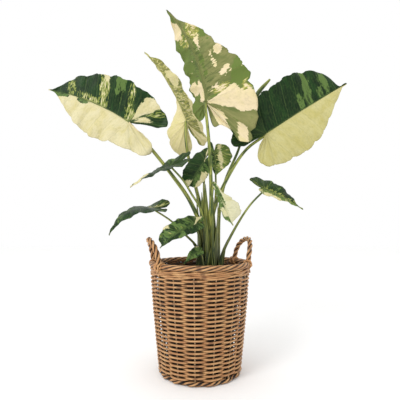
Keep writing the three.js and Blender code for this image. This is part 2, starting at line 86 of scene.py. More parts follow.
TURN = (-0.4, 0.25)                # where a half leaf's fold changes, in leaf lengths


def half(outline, wide, lobe, fold, curl, cream=-0.5, pale=-0.3, turn=TURN, splash=-1.0):
    return Sizes(outline=outline, wide=wide, lobe=lobe, fold=fold, curl=curl, cream=cream,
                 pale=pale, turn=turn, splash=splash)


def blade(name, joint, tip, face, left, right, cream=(), pale=(), splash=(), **own):
    usual = dict(sweep=0, hang=0, ruffle=2.5, waves=4, fine=36, tone=(1, 1, 1), torn=1, scallop=1)
    return Sizes(name=name, joint=joint, tip=tip, face=face, left=left, right=right,
                 spots=dict(cream=cream, pale=pale, splash=splash), **(usual | own))


# Each leaf repeats its CAD record, and adds its colouring. In half(), cream, pale and splash are
# how much of each tone the half carries. In blade() they are patches of that tone, as
# (side, u, v, length, width, level) with their places and sizes in thousandths of the leaf's
# length; a level below zero takes the tone away.
LEAVES = [
    blade("crown", (17, -48, 777), (-83, -82, 1020), (0.6, 0.75, 0.25),
          half("crown_open", 1.0, 1, (30, 34, 40), (14, 8, 0), -0.6, -0.5, splash=-1.3),
          half("crown_back", 0.95, 0.55, (24, 30, 30), (10, 6, 0), -0.6, 0.35),
          arch=14, sweep=40, hang=10, ruffle=5, waves=5.5, fine=72, torn=1.5, scallop=1.9,
          foot=(-3, -20), bend=[(28, -22, 385), (33, -28, 490), (28, -38, 640)], thick=(9, 4.6),
          cream=[(1, 620, 75, 55, 28, 1), (1, 485, 260, 40, 45, 1), (1, 410, 165, 35, 13, 1),
              (1, 270, 250, 35, 55, 0.9), (1, 150, 140, 30, 50, 0.5), (1, 20, 200, 75, 190, 1.2),
              (1, -30, 400, 85, 190, 1.2), (1, -170, 130, 70, 120, 1.1),
              (1, -330, 400, 110, 60, 1), (1, 65, 470, 20, 30, 1), (1, -190, 400, 55, 140, -2.5),
              (1, 800, 130, 20, 20, 0.9), (-1, 190, 270, 90, 100, 1), (-1, 120, 100, 120, 80, 1),
              (-1, 900, 140, 110, 120, 1), (-1, -60, 200, 90, 250, -3)],
          pale=[(1, 170, 440, 200, 150, 1.3), (1, 720, 190, 60, 60, 1.3),
              (1, 80, 280, 40, 200, 0.8), (1, 550, 50, 200, 20, 0.8)],
          splash=[(1, 120, 170, 30, 60, 0.3), (1, 240, 300, 50, 130, 0.0),
              (1, 90, 440, 50, 60, 0.2), (1, 780, 100, 80, 70, 0.2),
              (-1, 750, 100, 100, 80, 0.1)]),
    blade("high", (-46, 70, 754), (-174, 96, 987), (0.05, 1, 0.1),
          half("narrow", 1.0, 1, (54, 64, 50), (6, 6, 0), -0.5, -0.3, splash=0.15),
          half("apron", 1.0, 1, (-4, 100, 95), (0, 0, 0), 0.9, 0.4, (-0.32, 0.6), 0.4),
          arch=8, sweep=26, hang=-8, ruffle=4, waves=5, fine=64, tone=(0.93, 0.99, 0.84),
          foot=(-17, 18), bend=[(4, 24, 457), (-12, 32, 530), (-30, 36, 600), (-44, 42, 680)],
          thick=(8, 4.4),
          cream=[(1, 200, 380, 400, 80, 1.1), (1, 660, 170, 120, 100, 1),
              (1, 930, 100, 90, 200, -2.5), (-1, 930, 100, 90, 300, -3),
              (1, -220, 200, 120, 200, 1)],
          pale=[(1, 930, 100, 100, 200, -2)]),
    blade("left_wide", (-206, -64, 712), (-434, -30, 818), (0.1, -0.95, 0.3),
          half("skirt", 1.0, 1, (-6, -18, -14), (-24, -22, 0), 1.2, 0.5),
          half("blunt", 1.0, 1, (14, 22, 10), (14, 24, 0), -1.2, -0.75, splash=-1.3),
          arch=8, sweep=-20, hang=8, ruffle=5, waves=6, fine=72, tone=(0.93, 0.92, 0.92),
          foot=(-23, -20), bend=[(9, -16, 385), (-29, -22, 487), (-87, -38, 570),
          (-150, -52, 648)], thick=(8.5, 4.6),
          cream=[(-1, -90, 240, 70, 170, 1.3), (-1, -120, 100, 40, 50, 0.8),
              (-1, 110, 340, 12, 40, 1), (-1, 450, 330, 30, 35, 0.9), (1, 930, 15, 100, 30, -3),
              (1, 630, 15, 60, 25, -3)],
          pale=[(-1, 260, 300, 40, 150, 0.3)],
          splash=[(-1, 430, 200, 45, 260, 0.35), (-1, 550, 40, 120, 30, 0.2),
              (-1, 90, 200, 20, 200, 0.1), (-1, -220, 250, 40, 60, 0.1),
              (-1, 680, 200, 30, 120, 0.0), (-1, 820, 120, 40, 100, 0.1),
              (-1, 30, 80, 40, 60, 0.3)]),
    blade("right_wide", (204, 10, 698), (434, 0, 842), (-0.2, -0.95, 0.3),
          half("full", 1.0, 1, (14, 22, 10), (14, 24, 0), -1.4, -0.9, splash=-1.1),
          half("drape", 1.04, 1, (-6, -18, -14), (-24, -22, 0), 1.2, 0.5),
          arch=8, hang=8, ruffle=5, waves=6, fine=72, tone=(0.8, 0.8, 0.6), foot=(7, 2),
          bend=[(33, 12, 400), (46, 18, 475), (93, 28, 578), (146, 32, 655)], thick=(8.5, 4.6),
          pale=[(1, 660, 200, 45, 270, 1.2), (1, 520, 80, 20, 90, 1), (1, 880, 180, 35, 140, 1.2),
              (1, 790, 110, 20, 120, 1)],
          splash=[(1, 560, 120, 20, 100, 0.0), (1, 800, 200, 50, 100, -0.3)]),
    blade("left_mid", (-82, -84, 582), (-182, -104, 526), (-0.25, -0.6, 0.8),
          half("plain", 0.85, 1.15, (10, 16, 10), (0, 0, 0), -1.0, -0.5, splash=-0.9),
          half("plain", 0.68, 1.45, (6, -22, -16), (0, 0, 0), -0.9, -0.3, (-0.15, 0.35)),
          arch=14, hang=-22, foot=(-11, -40), bend=[(13, -40, 400), (0, -48, 466), (-23, -62, 504),
          (-46, -74, 541)], thick=(5.5, 2.8),
          cream=[(1, 850, 0, 200, 140, 1.1), (-1, 800, 50, 200, 140, 1.1)]),
    blade("centre", (14, -4, 612), (-32, -30, 532), (-0.1, -0.95, 0.35),
          half("full", 0.8, 0.8, (-10, -20, -10), (0, 0, 0), -0.75, 0.0),
          half("full", 0.98, 1.4, (4, 4, 4), (8, 10, 0), -1.1, -0.5, splash=-0.65),
          arch=6, hang=6, ruffle=3, foot=(-13, 0), bend=[(14, 4, 400), (12, 8, 520)], thick=(6, 3),
          cream=[(1, 680, 260, 280, 90, 1.1), (-1, -450, 100, 140, 120, 0.9),
              (-1, 920, 50, 120, 80, 0.8)]),
    blade("inner", (45, 46, 650), (48, 24, 570), (0.1, -0.95, 0.3),
          half("plain", 1.65, 1, (-10, -20, -10), (0, 0, 0), -0.6, 0.6, splash=0.0),
          half("plain", 0.6, 1, (10, 14, 10), (0, 0, 0), -0.8, -0.1, splash=-0.3),
          arch=6, hang=6, ruffle=3, foot=(5, 22), bend=[(34, 28, 400), (48, 36, 500),
          (50, 48, 560)], thick=(5.5, 2.8),
          cream=[(1, 200, 250, 500, 60, 1.1)],
          pale=[(1, 200, 550, 500, 200, 0.6), (1, 100, 50, 400, 100, -1)]),
    blade("low_left", (-140, -30, 468), (-250, -66, 400), (-0.1, -0.3, 0.95),
          half("plain", 0.8, 0.6, (4, -4, -24), (0, 0, 0), -1.0, -0.3),
          half("plain", 0.8, 1.0, (30, -9, -6), (0, 0, 0), -0.8, -0.3, (-0.35, 0.0)),
          arch=52, hang=-18, foot=(-35, 0), bend=[(-6, 0, 345), (-46, -12, 392), (-85, -22, 430)],
          thick=(5, 2.6),
          splash=[(-1, -100, 80, 150, 60, 0.3), (-1, 400, 100, 200, 40, -0.1)]),
    blade("front_left", (-14, -84, 420), (-98, -130, 364), (-0.25, -0.7, 0.7),
          half("plain", 0.5, 0.5, (-12, -14, -10), (0, 0, 0), -0.8, -0.1),
          half("full", 0.88, 0.95, (10, 12, 8), (0, 0, 0), -1.0, 0.1, splash=-0.4),
          arch=14, foot=(-25, -42), bend=[(-5, -48, 320), (-2, -66, 380)], thick=(5, 2.6),
          cream=[(-1, -270, 150, 110, 250, 1.4), (-1, 620, 360, 60, 50, 0.9)]),
    blade("rim", (-2, -82, 346), (-40, -104, 317), (-0.2, -0.75, 0.6),
          half("plain", 0.55, 0.45, (-10, -12, -8), (0, 0, 0), -0.8, 0.1),
          half("plain", 0.75, 0.7, (10, 12, 8), (0, 0, 0), -0.8, 0.0),
          arch=8, ruffle=1.5, waves=3, fine=30, foot=(-38, -32), bend=[(-12, -52, 290)],
          thick=(4, 2.2),
          cream=[(-1, 0, 300, 200, 50, 0.7)]),
    blade("hanging", (38, -64, 532), (88, -78, 424), (0.35, -0.9, 0.2),
          half("pendant", 1.0, 1, (4, 6, 4), (0, 10, 0), 1.0, 0.6),
          half("pendant", 0.35, 1, (-20, -30, -20), (0, 0, 0), 0.0, 0.7),
          arch=6, tone=(0.95, 1.0, 1.1), torn=3, scallop=2.6, foot=(8, -42), bend=[(36, -46, 400),
          (34, -58, 480)], thick=(5.5, 2.6),
          cream=[(1, 200, 20, 250, 30, -1.8), (-1, 300, 100, 300, 100, -1.3)]),
    blade("low_right", (190, -26, 522), (287, -50, 467), (0.15, -0.45, 0.85),
          half("plain", 0.95, 1.15, (14, 16, 8), (0, 0, 0), -1.0, -0.4, splash=-0.55),
          half("plain", 0.45, 0.3, (-10, -14, -10), (0, 0, 0), -0.8, 0.4, splash=-0.1),
          arch=8, hang=-12, foot=(34, -18), bend=[(64, -16, 325), (90, -18, 385), (146, -24, 475)],
          thick=(6, 2.8),
          cream=[(-1, 250, 160, 350, 30, 0.5)],
          splash=[(1, 550, 50, 300, 25, 0.3)]),
]
YOUNG = Sizes(foot=(28, 8), bend=[(55, 26, 370), (62, 42, 475), (82, 50, 562), (122, 58, 655)],
              mouth=(184, 62, 838), end=(228, 60, 892), thick=(7, 3.4), roll=7.5)


# --- meshes
def unit(v):
    return v / np.maximum(np.linalg.norm(v, axis=-1, keepdims=True), 1e-12)


def ease(t):
    t = np.clip(t, 0, 1)
    return t * t * (3 - 2 * t)


def whole_turn(count):
    return np.arange(count) / count * TAU


def walked(path):
    """Distance from the start of a path to each of its points."""
    return np.concatenate([[0], np.cumsum(np.linalg.norm(np.diff(path, axis=0), axis=1))])


def carried(tangent, guess):
    """Normals along a path that turn as little as the path lets them."""
    normal = np.zeros_like(tangent)
    for k, along in enumerate(tangent):
        guess = unit(guess - along * (guess @ along))
        normal[k] = guess
    return normal


def spokes(normal, other, angle):
    return (normal[:, None] * np.cos(angle)[None, :, None]
            + other[:, None] * np.sin(angle)[None, :, None])


def add(name, data):
    thing = bpy.data.objects.new(name, data)
    bpy.context.scene.collection.objects.link(thing)
    return thing


def make_piece(name, verts, faces, materials, nodes, attrs, face_material=None,
               flat_faces=None):
    """A mesh piece from millimetre points; attrs are per-point floats or vectors."""
    mesh = bpy.data.meshes.new(name)
    mesh.from_pydata((np.asarray(verts) * MM).tolist(), [], faces)
    smooth = np.ones(len(mesh.polygons), bool)
    if flat_faces is not None:
        smooth[flat_faces:] = False
    mesh.polygons.foreach_set("use_smooth", smooth)
    for key, values in attrs.items():
        values = np.asarray(values, np.float32)
        kind = "FLOAT" if values.ndim == 1 else "FLOAT_VECTOR"
        layer = mesh.attributes.new(key, kind, "POINT")
        layer.data.foreach_set("value" if values.ndim == 1 else "vector", values.ravel())
    for material in materials:
        mesh.materials.append(material)
    if face_material is not None:
        mesh.polygons.foreach_set("material_index", face_material)
    mesh.update()
    piece = add(name, mesh)
    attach(piece, "root")
    if nodes:
        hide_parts(*nodes)


class Build:
    """Collects tubes and grids into one mesh with 'along', 'around', 'rod' and 'deep'; 'deep' is
    how much painted shade a rattan rod gets, and on a sheath how near its edge a point lies.
    """

    def __init__(self):
        self.verts, self.faces = [], []
        self.attrs = dict(along=[], around=[], rod=[], deep=[])
        self.count = 0

    def grid(self, points, along, around, rod, deep=0.0, closed_rows=False, caps=True):
        rows, cols = points.shape[:2]
        base = self.count
        index = base + np.arange(rows * cols).reshape(rows, cols)
        right = np.roll(index, -1, 1)
        quads = np.stack([index, right, np.roll(right, -1, 0), np.roll(index, -1, 0)], -1)
        if not closed_rows:
            quads = quads[:-1]
        self.faces += quads.reshape(-1, 4).tolist()
        if caps and not closed_rows:
            self.faces += [index[0][::-1].tolist(), index[-1].tolist()]
        self.verts.append(points.reshape(-1, 3))
        for key, values in dict(along=along, around=around, rod=rod, deep=deep).items():
            self.attrs[key].append(np.broadcast_to(values, (rows, cols)).reshape(-1))
        self.count += rows * cols

    def tube(self, path, radius, sides=8, rod=0.0, closed=False, up=None, deep=0.0, core=None,
             crease_shade=0.0, groove=0.8):
        """A rod along path; deep is how much painted shade it gets, and more painted shade can go
        along its top and bottom, where it presses on the rows next to it, and on the side facing a
        core line, in a rope's grooves.
        """
        path = np.asarray(path, float)
        radius = np.broadcast_to(np.asarray(radius, float), len(path))
        ahead = np.roll(path, -1, 0)
        behind = np.roll(path, 1, 0)
        if not closed:
            ahead[-1], behind[0] = path[-1], path[0]
        tangent = unit(ahead - behind)
        if up is None:
            upright = abs(tangent[0, 2]) >= 0.9
            normal = carried(tangent, np.array([1.0, 0, 0] if upright else [0.0, 0, 1]))
        else:
            up = np.broadcast_to(np.asarray(up, float), path.shape)
            normal = unit(up - tangent * np.sum(up * tangent, 1, keepdims=True))
        other = np.cross(tangent, normal)
        angle = whole_turn(sides)
        ring = spokes(normal, other, angle)
        # painted shade: darker along the rod's top and bottom, and on its side that faces the core
        # line
        deep = np.broadcast_to(deep, (len(path), 1)) + crease_shade * np.abs(np.cos(angle))[None] ** 3
        if core is not None:
            facing = np.sum(ring * unit(path - core)[:, None], -1)
            deep = deep + ease((groove - facing) / 0.5)
        points = path[:, None] + ring * radius[:, None, None]
        self.grid(points, walked(path)[:, None], angle[None] / TAU, rod, np.clip(deep, 0, 1),
                  closed_rows=closed)

    def piece(self, name, material, slot, nodes):
        attrs = {key: np.concatenate(values) for key, values in self.attrs.items()}
        make_piece(name, np.concatenate(self.verts), self.faces, [material], nodes, attrs)


def catmull(points, count):
    """Centripetal Catmull-Rom curve through the points, sampled evenly in parameter."""
    p = np.asarray(points, float)
    p = np.vstack([2 * p[0] - p[1], p, 2 * p[-1] - p[-2]])
    spans = len(p) - 3
    t = np.linspace(0, spans, count)
    i = np.minimum(t.astype(int), spans - 1)
    w = (t - i)[:, None]
    a, b, c, d = p[i], p[i + 1], p[i + 2], p[i + 3]

    def gap(x, y):
        return np.sqrt(np.maximum(np.linalg.norm(y - x, axis=1, keepdims=True), 1e-9))

    g0, g1, g2 = gap(a, b), gap(b, c), gap(c, d)
    m1 = ((b - a) / g0 - (c - a) / (g0 + g1) + (c - b) / g1) * g1
    m2 = ((c - b) / g1 - (d - b) / (g1 + g2) + (d - c) / g2) * g1
    return (b + m1 * w + (-3 * b + 3 * c - 2 * m1 - m2) * w ** 2
            + (2 * b - 2 * c + m1 + m2) * w ** 3)


def even_path(points, count):
    """Smooth path through the points in count equal steps."""
    dense = catmull(points, 400)
    run = walked(dense)
    want = np.linspace(0, run[-1], count + 1)
    return np.stack([np.interp(want, run, dense[:, k]) for k in range(3)], 1)


def wall_radius(z):
    heights, radii = zip(*FLARE)
    return np.interp(z, heights, radii)


def ripple(x, seed, size):
    """Smooth wander made of a few sines, the same on every run."""
    rng = np.random.default_rng(seed)
    total = np.zeros_like(np.asarray(x, float))
    for k in range(1, 5):
        total += np.sin(x / size * k * 1.7 + rng.uniform(0, TAU)) / k
    return total / 2


# --- shader helper
def rgb(r, g, b):
    """Screen colour to the shader's linear colour."""
    def one(c):
        c /= 255
        return c / 12.92 if c <= 0.04045 else ((c + 0.055) / 1.055) ** 2.4
    return (one(r), one(g), one(b), 1)


class Shade:
    """A material being made: paint() lays each colour over what is there already."""

    def __init__(self, name, color):
        self.color = color
        self.material = bpy.data.materials.new(name)
        self.material.use_nodes = True
        self.tree = self.material.node_tree
        self.tree.nodes.clear()
        self.out = self.tree.nodes.new("ShaderNodeOutputMaterial")
        self.bsdf = self.tree.nodes.new("ShaderNodeBsdfPrincipled")
        self.tree.links.new(self.bsdf.outputs[0], self.out.inputs[0])

    def put(self, socket, value):
        if isinstance(value, bpy.types.NodeSocket):
            self.tree.links.new(value, socket)
        else:
            socket.default_value = value

    def node(self, kind, inputs=(), output=0, **props):
        node = self.tree.nodes.new("ShaderNode" + kind)
        for key, value in props.items():
            setattr(node, key, value)
        for key, value in dict(inputs).items():
            self.put(node.inputs[key], value)
        return node.outputs[output]

    def attr(self, name, vector=False):
        return self.node("Attribute", attribute_name=name, output=1 if vector else 2)

    def math(self, op, a, b=0.0):
        return self.node("Math", {0: a, 1: b}, operation=op)

    def times(self, a, b):
        return self.math("MULTIPLY", a, b)

    def plus(self, a, b):
        return self.math("ADD", a, b)

    def swing(self, noise, size):
        """Noise moved so that it swings about zero."""
        return self.times(self.math("SUBTRACT", noise, 0.5), size)

    def noise(self, vector, scale, detail=3.0, rough=0.55, warp=0.0):
        return self.node("TexNoise", {"Vector": vector, "Scale": scale, "Detail": detail,
                                      "Roughness": rough, "Distortion": warp})

    def band(self, value, low, high):
        return self.node("MapRange", {0: value, 1: low, 2: high}, interpolation_type="SMOOTHSTEP")

    def rod_noise(self, rod, lengthwise, crosswise, scale, detail, rough):
        """Noise along a rod and round it; rod is its attributes along, around and rod."""
        along, around, number = rod
        place = self.combine(self.times(along, lengthwise), self.times(around, crosswise), number)
        return self.noise(place, scale, detail, rough)

    def mix(self, fac, a, b, blend="MIX"):
        node = self.tree.nodes.new("ShaderNodeMix")
        node.data_type = "RGBA"
        node.blend_type = blend
        self.put(node.inputs[0], fac)
        self.put(node.inputs[6], a)
        self.put(node.inputs[7], b)
        return node.outputs[2]

    def paint(self, share, color, strength=None, blend="MIX"):
        if strength is not None:
            share = self.times(share, strength)
        self.color = self.mix(share, self.color, color, blend)

    def stretch(self, vector, scale):
        return self.node("Mapping", {0: vector, 3: scale})

    def position(self):
        return self.node("NewGeometry")

    def combine(self, x, y, z):
        return self.node("CombineXYZ", {0: x, 1: y, 2: z})

    def bump(self, height, strength, distance):
        return self.node("Bump", {"Strength": strength, "Distance": distance, "Height": height})

    def finish(self, rough, normal=None, specular=None):
        inputs = self.bsdf.inputs
        self.put(inputs["Base Color"], self.color)
        self.put(inputs["Roughness"], rough)
        if normal is not None:
            self.put(inputs["Normal"], normal)
        if specular is not None:
            inputs["Specular IOR Level"].default_value = specular
        return self.material


# --- materials
def rattan_material(name, light, mid, dark):
    s = Shade(name, mid)
    rod = along, _, _ = s.attr("along"), s.attr("around"), s.attr("rod")
    streak = s.rod_noise(rod, 0.012, 1.6, 4.0, 4.0, 0.6)
    blotch = s.rod_noise(rod, 0.03, 0.4, 1.0, 3.0, 0.5)
    s.paint(s.band(s.plus(s.times(streak, 0.5), s.times(blotch, 0.5)), 0.40, 0.62), light)
    s.paint(s.band(blotch, 0.60, 0.80), dark, 0.75)
    knots = s.band(s.math("SINE", s.times(along, 0.021)), 0.985, 1.0)
    s.paint(knots, dark, 0.6)
    grain = s.rod_noise(rod, 0.02, 14.0, 3.0, 2.0, 0.6)
    s.paint(grain, dark, 0.25)
    # painted shade: the parts of each rod that its 'deep' attribute marks, where it swings behind
    # the stakes, presses on the rows next to it or turns into a rope's groove, are painted
    # near-black brown
    s.paint(s.attr("deep"), rgb(30, 19, 12))
    height = s.plus(grain, s.times(knots, 0.8))
    rough = s.plus(0.38, s.times(streak, 0.3))
    return s.finish(rough, s.bump(height, 0.35, 0.0006), 0.45)


# Screen colours of a leaf's upper side and underside; 'deep' is the dark green of the painted
# shade along the veins near the midrib.
UPPER = dict(dark=(12, 35, 13), mid=(26, 60, 21), light=(98, 124, 62), cream=(226, 217, 176),
             cream2=(216, 205, 148), rib=(92, 112, 58), splash=(150, 160, 76), deep=(12, 32, 13))
UNDER = dict(dark=(104, 116, 64), mid=(142, 141, 90), light=(98, 122, 54),
             cream=(240, 221, 186), cream2=(230, 215, 164), rib=(118, 118, 70),
             splash=(176, 174, 84), deep=(64, 84, 42))


def leaf_material(name, colors, rough, relief, specular):
    """Green blade with cream, pale and splashed parts; relief is how far its veins stand out."""
    shade = Sizes(**{key: rgb(*value) for key, value in colors.items()})
    s = Shade(name, shade.dark)
    flow = s.attr("flow", True)
    cream_field, pale_field, splash_field = s.attr("cream"), s.attr("pale"), s.attr("splash")
    lanes = s.node("SeparateXYZ", {0: s.attr("lane", True)}).node
    place, spacing, reach = lanes.outputs

    # side veins, and the finer ones between them
    place = s.plus(place, s.swing(s.noise(flow, 0.05, 2.0), 0.25))
    main = s.band(s.times(s.math("PINGPONG", place, 0.5), spacing), 1.5, 0.3)
    minor = s.math("PINGPONG", s.times(place, 5.0), 0.5)
    minor = s.times(minor, s.math("DIVIDE", spacing, 5.0))
    minor = s.times(s.band(minor, 0.9, 0.2), 0.35)
    line = s.math("MAXIMUM", s.math("MAXIMUM", main, minor), s.attr("vein"))

    def grain(scale, *noise):
        return s.noise(s.stretch(flow, scale), 1.0, *noise)

    # noise drawn out along the veins moves the borders of the tones
    edge = grain((0.034, 0.016, 1.0), 6.0, 0.62, 0.4)
    edge2 = grain((0.05, 0.014, 1.7), 5.0, 0.6, 0.4)
    fleck = grain((0.30, 0.08, 2.3), 3.0, 0.55)
    streak = grain((0.17, 0.028, 3.1), 4.0, 0.65, 0.3)
    fine = grain((1.5, 0.05, 1.0), 2.0, 0.5)
    creamy = s.plus(cream_field, s.plus(s.swing(edge, 3.0), s.swing(fleck, 1.1)))
    paler = s.plus(pale_field, s.plus(s.swing(edge2, 3.2), s.swing(fleck, 0.8)))
    splashed = s.plus(splash_field, s.plus(s.swing(streak, 3.6), s.swing(fleck, 1.6)))
    cream = s.band(creamy, -0.03, 0.06)

    s.paint(s.band(edge2, 0.35, 0.65), shade.mid)
    s.paint(s.band(creamy, -0.25, 0.05), shade.light, 0.5)
    s.paint(s.band(paler, -0.05, 0.12), shade.light)
    # painted shade: dark green streaks near the midrib, for the shade of the raised veins there
    s.paint(s.times(s.band(reach, 0.75, 0.05), s.band(streak, 0.49, 0.56)), shade.deep, 0.8)
    s.paint(fine, shade.mid, 0.25)
    s.paint(s.band(splashed, -0.05, 0.15), shade.splash, 0.85)
    pallor = s.mix(s.band(edge, 0.35, 0.7), shade.cream, shade.cream2)
    pallor = s.mix(1.0, pallor, s.attr("tone", True), "MULTIPLY")
    s.paint(s.band(splashed, 0.35, 0.55), pallor, 0.9)
    s.paint(cream, pallor, 0.97)
    s.paint(s.times(line, s.math("SUBTRACT", 0.4, s.times(cream, 0.26))), shade.rib)
    crinkle = grain((0.16, 0.09, 1.0), 4.0, 0.7, 0.8)
    s.paint(s.band(crinkle, 0.52, 0.38), shade.rib, 0.13)
    tint = grain((0.9, 0.2, 1.0), 3.0, 0.6)
    s.paint(tint, shade.rib, 0.14, "MULTIPLY")

    height = s.plus(s.times(fine, 0.5), s.times(tint, 0.3))
    height = s.plus(s.plus(height, s.times(line, relief)), s.times(crinkle, 2.4))
    rough = s.plus(rough, s.plus(s.times(cream, 0.12), s.times(tint, 0.14)))
    return s.finish(rough, s.bump(height, 0.4, 0.0007), specular)


def stem_material(name):
    s = Shade(name, rgb(70, 90, 32))
    rod = along, _, number = s.attr("along"), s.attr("around"), s.attr("rod")
    lines = s.rod_noise(rod, 0.006, 9.0, 2.0, 4.0, 0.6)
    patch = s.rod_noise(rod, 0.012, 2.0, 1.3, 3.0, 0.55)
    low = s.band(along, 240.0, 20.0)
    s.paint(s.band(lines, 0.42, 0.58), rgb(172, 176, 84))
    s.paint(s.band(patch, 0.50, 0.58), rgb(40, 68, 28), 0.8)
    s.paint(s.band(lines, 0.60, 0.72), rgb(214, 206, 142), 0.6)
    s.paint(low, rgb(20, 42, 16), 0.78)
    age = s.noise(s.combine(number, number, number), 1.9, 0.0)
    s.paint(s.times(s.band(age, 0.46, 0.56), low), rgb(14, 28, 10), 0.7)
    margin = s.times(s.band(s.attr("deep"), 0.3, 0.8), s.band(lines, 0.40, 0.55))
    s.paint(margin, rgb(172, 178, 96), 0.75)
    rough = s.plus(0.34, s.times(patch, 0.2))
    return s.finish(rough, s.bump(lines, 0.3, 0.0006), 0.4)


def soil_material():
    s = Shade("potting_soil", rgb(34, 23, 17))
    place = s.position()
    crumbs = s.noise(place, 260.0, 6.0, 0.7)
    clods = s.noise(place, 60.0, 4.0, 0.6)
    s.paint(s.band(crumbs, 0.35, 0.7), rgb(84, 60, 44))
    s.paint(s.band(clods, 0.55, 0.7), rgb(110, 84, 62), 0.5)
    rough = s.plus(0.82, s.times(crumbs, 0.15))
    return s.finish(rough, s.bump(s.plus(crumbs, clods), 0.9, 0.002))


def pot_material():
    s = Shade("pot_plastic", rgb(40, 37, 34))
    place = s.position()
    scuff = s.noise(place, 90.0, 5.0, 0.6)
    fine = s.noise(place, 700.0, 2.0, 0.5)
    dust = s.noise(place, 14.0, 4.0, 0.6)
    s.paint(s.band(scuff, 0.45, 0.7), rgb(58, 53, 48))
    s.paint(s.band(dust, 0.5, 0.75), rgb(92, 76, 60), 0.5)
    return s.finish(s.plus(0.42, s.times(scuff, 0.3)), s.bump(fine, 0.25, 0.0004))


def floor_material():
    s = Shade("pale_floor", (0.985, 0.985, 0.98, 1))
    grain = s.noise(s.position(), 6.0, 3.0, 0.5)
    s.paint(grain, (0.99, 0.99, 0.985, 1))
    return s.finish(s.plus(0.85, s.times(grain, 0.05)))


RATTAN = rattan_material("rattan", rgb(222, 174, 118), rgb(184, 130, 82),
                         rgb(104, 64, 38))
RATTAN_DARK = rattan_material("rattan_stakes", rgb(226, 196, 156), rgb(186, 150, 108),
                              rgb(120, 84, 54))
LEAF_TOP = leaf_material("leaf_upper", UPPER, rough=0.36, relief=-0.6, specular=0.16)
LEAF_UNDER = leaf_material("leaf_underside", UNDER, rough=0.52, relief=1.0, specular=0.12)
STEM = stem_material("leaf_stem")


# --- basket
STAKES = 15
FIRST_STAKE = -96.3                # azimuth in degrees of the stake nearest the front
STAKE = Sizes(low=9, high=301, radius=1.9)
ROD = 2.85                         # radius of a weaver
SWAY = 4.5                         # how far a weaver swings to each side of the stakes
PITCH = 5.45                       # from one row of the weave to the next
WEAVE = (12.5, 279.0)              # heights of the lowest and highest rows
TOP_ROWS = (283.5, 291.5)
TWINE = Sizes(strands=3, waves=5, sway=3.6, lift=2.7)
GRIP = Sizes(rod=3.7, offset=4.1, strands=3, lay=62, run_in=26)
LASHING = Sizes(shifts=(-9.5, -4.0, 9.0), slant=3.4, gap=2.0, rod=2.3, stub=2.7)
COIL = Sizes(turns=17, start=12, height=3.4, rod=2.6)
STICKS = Sizes(count=8, reach=104, height=3.2, rod=2.4)


def on_ring(radius, angle, z):
    return np.stack([radius * np.cos(angle), radius * np.sin(angle),
                     np.broadcast_to(z, angle.shape)], -1)


def basket_wall():
    """One weaver wound round an odd number of stakes, so that every row sways the other way."""
    wall = Build()
    low, high = WEAVE
    turns = (high - low) / PITCH
    steps = int(turns * STAKES * 8)
    turn = np.linspace(0, turns, steps)
    angle = turn * TAU
    z = low + turn * PITCH + 0.45 * ripple(turn * 40, 3, 9)
    phase = STAKES / 2 * (angle - math.radians(FIRST_STAKE))
    sway = np.tanh(1.7 * np.cos(phase)) / math.tanh(1.7)
    mid = wall_radius(z) - SWAY - ROD
    radius = mid + SWAY * sway + 0.35 * ripple(turn * 30, 5, 5)
    z = z + 0.25 * np.sin(phase * 2)
    path = on_ring(radius, angle, z)
    thick = ROD * (1 + 0.07 * ripple(turn * 12, 8, 3))
    pieces = 4
    for k in range(pieces):
        part = slice(k * steps // pieces, (k + 1) * steps // pieces + 1)
        rods = np.floor(turn[part] / 1.37) * 0.731
        # painted shade on the weaver where it swings in behind the stakes, and along its top and
        # bottom where the rows press together
        inner = ease((-0.15 - sway[part]) / 0.7)[:, None]
        wall.tube(path[part], thick[part], 8, rods[:, None], up=(0, 0, 1), deep=0.9 * inner,
                  crease_shade=0.6)
    wall.piece("basket_weave", RATTAN, "rattan", ["basket_wall"])


def basket_bands():
    """Twined rows under the rim, and the stakes that the rows are woven round."""
    bands = Build()
    angle = whole_turn(STAKES * 16)
    for row, z in enumerate(TOP_ROWS):
        for strand in range(TWINE.strands):
            phase = TWINE.waves * angle + strand * TAU / TWINE.strands + row * 0.7
            radius = wall_radius(z) - TWINE.sway - ROD + TWINE.sway * np.cos(phase)
            path = on_ring(radius, angle, z + TWINE.lift * np.sin(phase))
            # painted shade on each twined strand where it swings inward, and along its top and
            # bottom
            inner = ease((0.2 - np.cos(phase)) / 0.9)[:, None]
            bands.tube(path, ROD * 1.02, 7, 0.37 * strand + row, closed=True, up=(0, 0, 1),
                       deep=0.8 * inner, crease_shade=0.7)
    bands.piece("basket_top_rows", RATTAN, "rattan", [])
    stakes = Build()
    for k in range(STAKES):
        angle = math.radians(FIRST_STAKE + 360 / STAKES * k)
        z = np.linspace(STAKE.low, STAKE.high, 40)
        radius = wall_radius(z) - SWAY - ROD
        turn = angle + 0.7 * ripple(z, k, 60) / radius
        stakes.tube(on_ring(radius, turn, z), STAKE.radius, 6, 0.51 * k)
    stakes.piece("basket_stakes", RATTAN_DARK, "rattan", [])


def rope_ring(name, ring, strands, turns, rod, node, seed, lumps=0.0):
    """Twisted border; lumps is how far it bulges at each stake."""
    rope = Build()
    angle = whole_turn(360)
    offset = ring.half - rod
    core = on_ring(ring.radius, angle, ring.z)
    for k in range(strands):
        twist = turns * angle + k * TAU / strands + 0.12 * ripple(angle * 10, seed + k, 5)
        reach = offset * (1 + 0.05 * ripple(angle * 16, seed + 9 + k, 4))
        bulge = lumps * np.cos(STAKES * angle + 1)
        path = on_ring(ring.radius + bulge + reach * np.cos(twist), angle,
                       ring.z + reach * np.sin(twist))
        # painted shade on the side of each strand that faces the rope's core, in the grooves
        # between strands
        rope.tube(path, rod, 9, 0.417 * k + seed, closed=True, up=(0, 0, 1), core=core,
                  groove=0.92)
    rope.piece(name, RATTAN, "rattan", [node])


